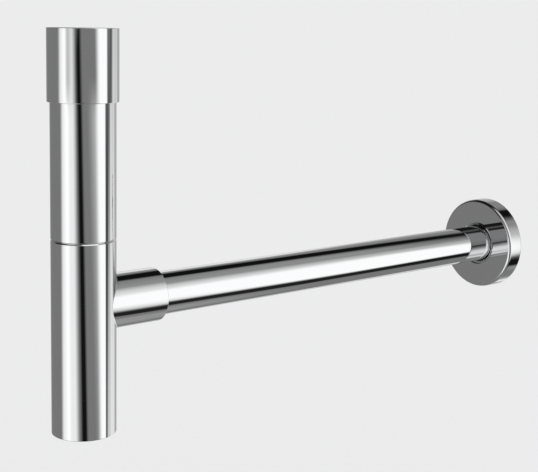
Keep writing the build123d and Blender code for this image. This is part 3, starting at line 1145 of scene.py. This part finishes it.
# Panels from the back of the studio to the front, with bearings measured from +X towards +Y.
# Each has its light, the bearing of its middle, then left and right, their softness and their lean,
# then bottom and top and their softness, and the fall of its top
STUDIO_PANELS = (
    ("light wall", 0.95, 20, (-35.5, 33), (11.5, 51), (0, 0), (-36.5, 10.5), (9, 80), 0),
    ("right wall", 0.46, 40, (-23.5, 40), (6.5, 30), (-0.08, 0), (-30, 2), (6, 4), 0),
    ("far wall", 0.85, 62, (-15, 18), (6, 6), (0, 0), (0.5, 26), (0.5, 8), 0),
    ("wall bar", 0.31, -1, (2.5, 4), (4, 6), (-0.19, -0.02), (-30, 4), (6, 6), 0),
    ("low wall", 0.35, 0, (-27.5, 60), (16.5, 30), (0, 0), (-75, -53), (10, 10), 0),
    ("glow", 0.66, -60, (-36, 19.5), (46.5, 7), (-1.87, 0), (-33.5, -4), (5, 2.5), 0),
    ("upper glow", 0.32, -30, (-40, 30.5), (20, 40), (0, 0.24), (12, 64), (12, 34.5), 0.32),
    ("softbox fall", 0.89, -50, (-6.5, 27), (14.5, 11), (-1.15, -0.32), (-33, 49), (5, 57), 1.45),
    ("softbox", 1.21, -50, (-25.5, 24), (20, 10.5), (-0.8, 0.38), (-37.5, 22), (3, 15.5), 0.43),
    ("gap", 0.036, -26, (-12.5, 9.5), (6.5, 15), (-0.14, 0.5), (-37, 14.5), (4, 57.5), 0),
    ("low flag", 0.017, -40, (-30, 17.5), (16, 7), (0, -0.02), (-48, -31.5), (4, 11), 0),
    ("rim flag", 0.008, -28, (-9, 9), (6, 7), (0, 0), (-36, -26), (4, 6), 0),
    ("overhead", 1.05, -80, (360, -64), (16, 12), (-6.6, 1.83), (46, 62), (6, 4), 0.14),
    ("ceiling flag", 0.01, 85, (-105, 100), (16, 16), (0, 0), (63.5, 200), (5, 10), 0),
    ("back flag", 0.01, 110, (-55, 55), (12, 10), (0, 0), (38, 72), (8, 6), 0),
    ("top flag", 0.006, -10, (-70, 19.5), (19, 17.5), (1.54, 0.92), (36, 61), (7.5, 5), 0),
    ("rim light", 0.26, 14, (-8, 26.5), (6.5, 10.5), (0, 0), (25, 40.5), (6, 6.5), 0),
    ("left wall", 0.28, 204, (-18, 17), (8, 6), (0, 0), (4, 44), (6, 4), 0),
    ("window", 1.02, 190, (-29, 19), (15.5, 19), (0.04, -0.49), (-37.5, 6), (8.5, 6), 0),
    ("window core", 1.35, 186, (-10.5, 0.5), (25, 21), (-0.19, -0.18), (-46, 6), (8, 6), 0),
    ("window bar", 0.64, 195, (-9.5, 6), (12, 18), (0, 0), (-4, 8), (2, 6), 0),
    ("flag", 0.007, -125, (-18.5, -3.5), (12.5, 11.5), (-0.77, -1.04), (-30, 2), (10, 4), -0.16),
    ("left flag", 0.012, 140, (-36.5, 44), (15.5, 10.5), (0.43, 0), (5.5, 44.5), (10.5, 6), 0),
    ("left slit", 0.11, 163, (-6, 6), (6.5, 6.5), (0, 0), (33, 43), (4, 4), 0),
)


class TRAP_OT_studio(bpy.types.Operator):
    """Set up the floor, the camera and the light of the studio"""

    bl_idname = "trap.studio"
    bl_label = "Studio"

    def execute(self, context):
        studio = context.scene.trap_studio
        context.scene.view_settings.view_transform = "Standard"
        self.light(context, studio)
        self.floor(context, studio)
        self.camera(context, studio)
        return {"FINISHED"}

    def light(self, context, studio):
        """An even pale surround for the picture, and panels of light for the chrome to mirror."""
        world = bpy.data.worlds.new("trap_studio")
        world.use_nodes = True
        world.cycles.sampling_method = "NONE"
        context.scene.world = world
        world.node_tree.nodes.clear()
        w = Wiring(world.node_tree)
        ray = w.add("ShaderNodeTexCoord").outputs["Generated"]
        split = w.add("ShaderNodeSeparateXYZ", Vector=ray).outputs
        bearing = w.math("DEGREES", w.math("ARCTAN2", split["Y"], split["X"]))
        height = w.math("DEGREES", w.math("ARCSINE", split["Z"]))
        light = studio.room
        for label, level, middle, *pairs, fall in STUDIO_PANELS:
            panel = w.group(panel_group(), Bearing=bearing, Height=height, Behind=light)
            panel.label = label
            values = (level, middle, *[value for pair in pairs for value in pair], fall)
            for name, value in zip(PANEL_INPUTS, values):
                w.feed(panel.inputs[name], value)
            light = panel.outputs["Light"]
        rays = w.add("ShaderNodeLightPath").outputs
        seen = w.math("MAXIMUM", rays["Is Camera Ray"], rays["Is Transmission Ray"])
        plain = w.mix(seen, (1, 1, 1, 1), (*studio.ground, 1))
        shown = w.mix(rays["Is Glossy Ray"], plain, light)
        background = w.add("ShaderNodeBackground", Color=shown)
        w.add("ShaderNodeOutputWorld", Surface=background.outputs[0])

    def floor(self, context, studio):
        """A round pale floor, far enough below to leave the trap hanging."""
        material, _, shader, _ = new_material("trap_floor")
        shader["Base Color"].default_value = (*studio.ground, 1)
        shader["Roughness"].default_value = 1.0
        shader["Specular IOR Level"].default_value = 0.0
        shape = bmesh.new()
        bmesh.ops.create_circle(shape, cap_ends=True, segments=128, radius=studio.floor_r)
        bmesh.ops.translate(shape, vec=(0, 0, studio.floor_z), verts=shape.verts)
        mesh = bpy.data.meshes.new("floor")
        shape.to_mesh(mesh)
        shape.free()
        mesh.materials.append(material)
        floor = bpy.data.objects.new("floor", mesh)
        floor.visible_glossy = False
        context.scene.collection.objects.link(floor)

    def camera(self, context, studio):
        """The camera at the picture's place."""
        data = bpy.data.cameras.new("camera")
        data.sensor_width = SENSOR_WIDTH
        data.lens = SENSOR_WIDTH * studio.focal_pixels / PICTURE_WIDTH
        data.shift_y = -studio.shift_pixels / PICTURE_WIDTH
        data.clip_start, data.clip_end = 0.01, 100.0
        camera = bpy.data.objects.new("camera", data)
        bearing, tilt = studio.camera_bearing, studio.camera_tilt
        level = math.cos(tilt)
        ahead = Vector((-math.sin(bearing) * level, math.cos(bearing) * level, math.sin(tilt)))
        camera.location = studio.camera_place
        camera.rotation_mode = "QUATERNION"
        upright = ahead.to_track_quat("-Z", "Y")
        camera.rotation_quaternion = upright @ Quaternion((0, 0, 1), studio.camera_roll)
        context.scene.collection.objects.link(camera)
        context.scene.camera = camera


OPERATORS = (
    TRAP_OT_studio,
    TRAP_OT_union_nut,
    TRAP_OT_dip_tube,
    TRAP_OT_upper_tube,
    TRAP_OT_bottle,
    TRAP_OT_outlet_pipe,
    TRAP_OT_wall_flange,
    TRAP_OT_rings,
)


class TRAP_PT_sidebar(bpy.types.Panel):
    """Sizes, finishes and steps of the basin trap"""

    bl_idname = "TRAP_PT_sidebar"
    bl_label = "Basin Trap"
    bl_space_type = "VIEW_3D"
    bl_region_type = "UI"
    bl_category = "Basin Trap"

    def draw(self, context):
        layout = self.layout
        scene = context.scene
        for settings in (scene.trap_sizes, scene.trap_finish, scene.trap_studio):
            box = layout.box()
            for name in settings.bl_rna.properties.keys():
                if name not in ("rna_type", "name"):
                    box.prop(settings, name)
        for operator in OPERATORS:
            layout.operator(operator.bl_idname)


CLASSES = (TrapSizes, TrapFinish, TrapStudio, *OPERATORS, TRAP_PT_sidebar)


def register():
    """Registers the classes and hangs their settings on the scene."""
    for cls in CLASSES:
        bpy.utils.register_class(cls)
    bpy.types.Scene.trap_sizes = PointerProperty(type=TrapSizes)
    bpy.types.Scene.trap_finish = PointerProperty(type=TrapFinish)
    bpy.types.Scene.trap_studio = PointerProperty(type=TrapStudio)


def unregister():
    """Takes the settings and the classes away again."""
    for name in ("trap_studio", "trap_finish", "trap_sizes"):
        delattr(bpy.types.Scene, name)
    for cls in reversed(CLASSES):
        bpy.utils.unregister_class(cls)


def main():
    """Builds the studio and all pieces."""
    register()
    for operator in OPERATORS:
        group, name = operator.bl_idname.split(".")
        getattr(getattr(bpy.ops, group), name)()


if __name__ == "__main__":
    main()
